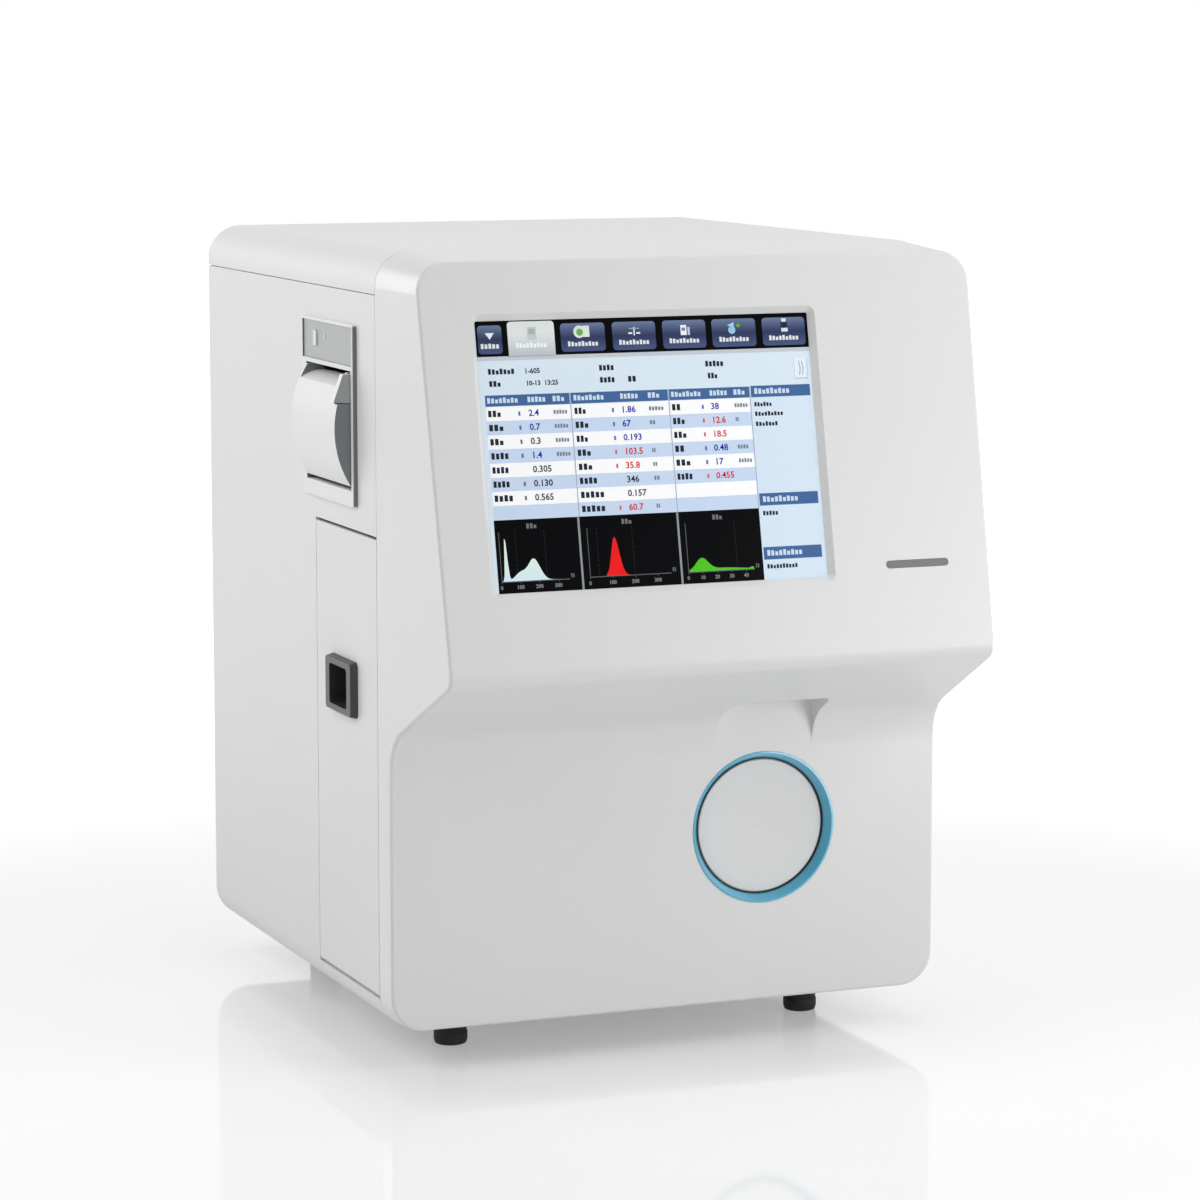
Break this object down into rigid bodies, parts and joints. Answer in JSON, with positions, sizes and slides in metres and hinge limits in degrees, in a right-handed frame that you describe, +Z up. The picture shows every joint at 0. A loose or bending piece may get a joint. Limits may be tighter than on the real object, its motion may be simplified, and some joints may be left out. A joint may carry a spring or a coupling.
{
  "type": "hematology analyzer",
  "caption": "Benchtop blood cell analyzer with a tilted touch display over a chin, a round start button in a blue ring, a side door and a built-in side printer.",
  "frame": {"origin": "centre of the bounding box's base, on the table under the analyzer", "axes": "+X to the right seen from the front, +Y to the rear, +Z up"},
  "size_m": [0.303, 0.3826, 0.398],
  "materials": {
    "shell_white": "satin moulded",
    "panel_white": "fine satin paint",
    "screen_glass": "gloss",
    "module_metal": "satin",
    "lens_grey": "smoked gloss",
    "ring_blue": "gloss",
    "button_white": "satin",
    "inner_plastic": "satin",
    "foot_rubber": "matte",
    "tray_steel": "satin",
    "zinc_steel": "zinc plated",
    "rod_steel": "polished",
    "pull_black": "fine grain",
    "magnet_grey": "matte",
    "bottle_white": "translucent satin",
    "cap_blue": "ribbed",
    "printer_white": "satin",
    "printer_grey": "satin",
    "printer_dark": "satin",
    "led_green": "gloss",
    "roller_rubber": "matte",
    "paper": "smooth",
    "clear_acrylic": "clear moulded",
    "board_green": "solder mask",
    "motor_black": "satin",
    "syringe_glass": "clear",
    "inlet_black": "satin",
    "rocker_black": "gloss",
    "port_steel": "polished"
  },
  "bodies": {
    "analyzer": {"top_cover": "panel_white", "left_side_panel": "panel_white", "right_side_panel": "panel_white", "rear_panel": "panel_white", "base_tray": "tray_steel", "front_cover": "shell_white", "touch_glass": "screen_glass", "lcd_module": "module_metal", "light_lens": "lens_grey", "button_ring": "ring_blue", "button_guide": "inner_plastic", "button_board": "board_green", "foot_front_left": "foot_rubber", "foot_front_right": "foot_rubber", "foot_rear_left": "foot_rubber", "foot_rear_right": "foot_rubber", "reagent_bay": "tray_steel", "door_magnet": "magnet_grey", "reagent_bottle": "bottle_white", "bottle_cap": "cap_blue", "printer_bezel": "printer_white", "key_panel": "printer_grey", "printer_led": "led_green", "printer_housing": "printer_dark", "paper_roll": "paper", "print_head": "zinc_steel", "bulkhead": "zinc_steel", "guide_rods": "rod_steel", "rod_bracket": "zinc_steel", "bath_bracket": "zinc_steel", "first_bath": "clear_acrylic", "second_bath": "clear_acrylic", "syringe_bracket": "zinc_steel", "syringe_barrel": "syringe_glass", "syringe_motor": "motor_black", "valve_manifold": "clear_acrylic", "diluent_pump": "motor_black", "waste_chamber": "bottle_white", "power_supply": "zinc_steel", "main_board": "board_green", "fan_housing": "inlet_black", "mains_inlet": "inlet_black", "fluid_ports": "port_steel", "rear_screws": "port_steel"},
    "start_button": {"start_button": "button_white"},
    "side_door": {"side_door": "panel_white", "door_pull": "pull_black"},
    "paper_cover": {"paper_cover": "printer_white"},
    "cover_lever": {"cover_lever": "printer_white"},
    "platen_roller": {"platen_roller": "roller_rubber"},
    "feed_key": {"feed_key": "button_white"},
    "power_switch": {"power_switch": "rocker_black"},
    "fan_rotor": {"fan_rotor": "inlet_black"},
    "probe_carriage": {"probe_carriage": "module_metal", "wash_block": "clear_acrylic", "lift_motor": "motor_black"},
    "probe_lift": {"probe_holder": "inner_plastic", "sample_probe": "rod_steel"},
    "lift_screw": {"lift_screw": "rod_steel"},
    "syringe_plunger": {"syringe_plunger": "inner_plastic"}
  },
  "joints": [
    {"name": "start_press", "type": "slide", "parent": "analyzer", "child": "start_button", "axis": [0, 1, 0], "range_m": [0, 0.0025], "stiffness_N_per_m": 900},
    {"name": "door_swing", "type": "hinge", "parent": "analyzer", "child": "side_door", "pos_m": [-0.1347, -0.1021, 0.041], "axis": [0, -1, 0], "range_deg": [0, 90]},
    {"name": "paper_cover_swing", "type": "hinge", "parent": "analyzer", "child": "paper_cover", "pos_m": [-0.1401, -0.0727, 0.285], "axis": [0, -1, 0], "range_deg": [0, 70]},
    {"name": "lever_pull", "type": "hinge", "parent": "paper_cover", "child": "cover_lever", "pos_m": [-0.1406, -0.0722, 0.333], "axis": [0, 1, 0], "range_deg": [0, 20], "stiffness_Nm_per_rad": 0.02},
    {"name": "platen_turn", "type": "hinge", "parent": "paper_cover", "child": "platen_roller", "pos_m": [-0.1371, -0.0722, 0.32], "axis": [0, -1, 0], "continuous": true},
    {"name": "feed_press", "type": "slide", "parent": "analyzer", "child": "feed_key", "axis": [1, 0, 0], "range_m": [0, 0.0006], "stiffness_N_per_m": 600},
    {"name": "power_rock", "type": "hinge", "parent": "analyzer", "child": "power_switch", "pos_m": [0.0698, 0.173, 0.072], "axis": [-1, 0, 0], "range_deg": [0, 14]},
    {"name": "fan_turn", "type": "hinge", "parent": "analyzer", "child": "fan_rotor", "pos_m": [-0.0647, 0.1712, 0.3], "axis": [0, 1, 0], "continuous": true},
    {"name": "carriage_travel", "type": "slide", "parent": "analyzer", "child": "probe_carriage", "axis": [0, 1, 0], "range_m": [0, 0.105]},
    {"name": "probe_lower", "type": "slide", "parent": "probe_carriage", "child": "probe_lift", "axis": [0, 0, -1], "range_m": [0, 0.05]},
    {"name": "screw_turn", "type": "hinge", "parent": "probe_carriage", "child": "lift_screw", "pos_m": [0.0643, -0.1228, 0.192], "axis": [0, 0, 1], "range_deg": [0, 2250]},
    {"name": "plunger_draw", "type": "slide", "parent": "analyzer", "child": "syringe_plunger", "axis": [0, 0, -1], "range_m": [0, 0.03]}
  ],
  "couplings": [
    {"joint": "screw_turn", "follows": "probe_lower", "rad_per_m": 785.4}
  ]
}
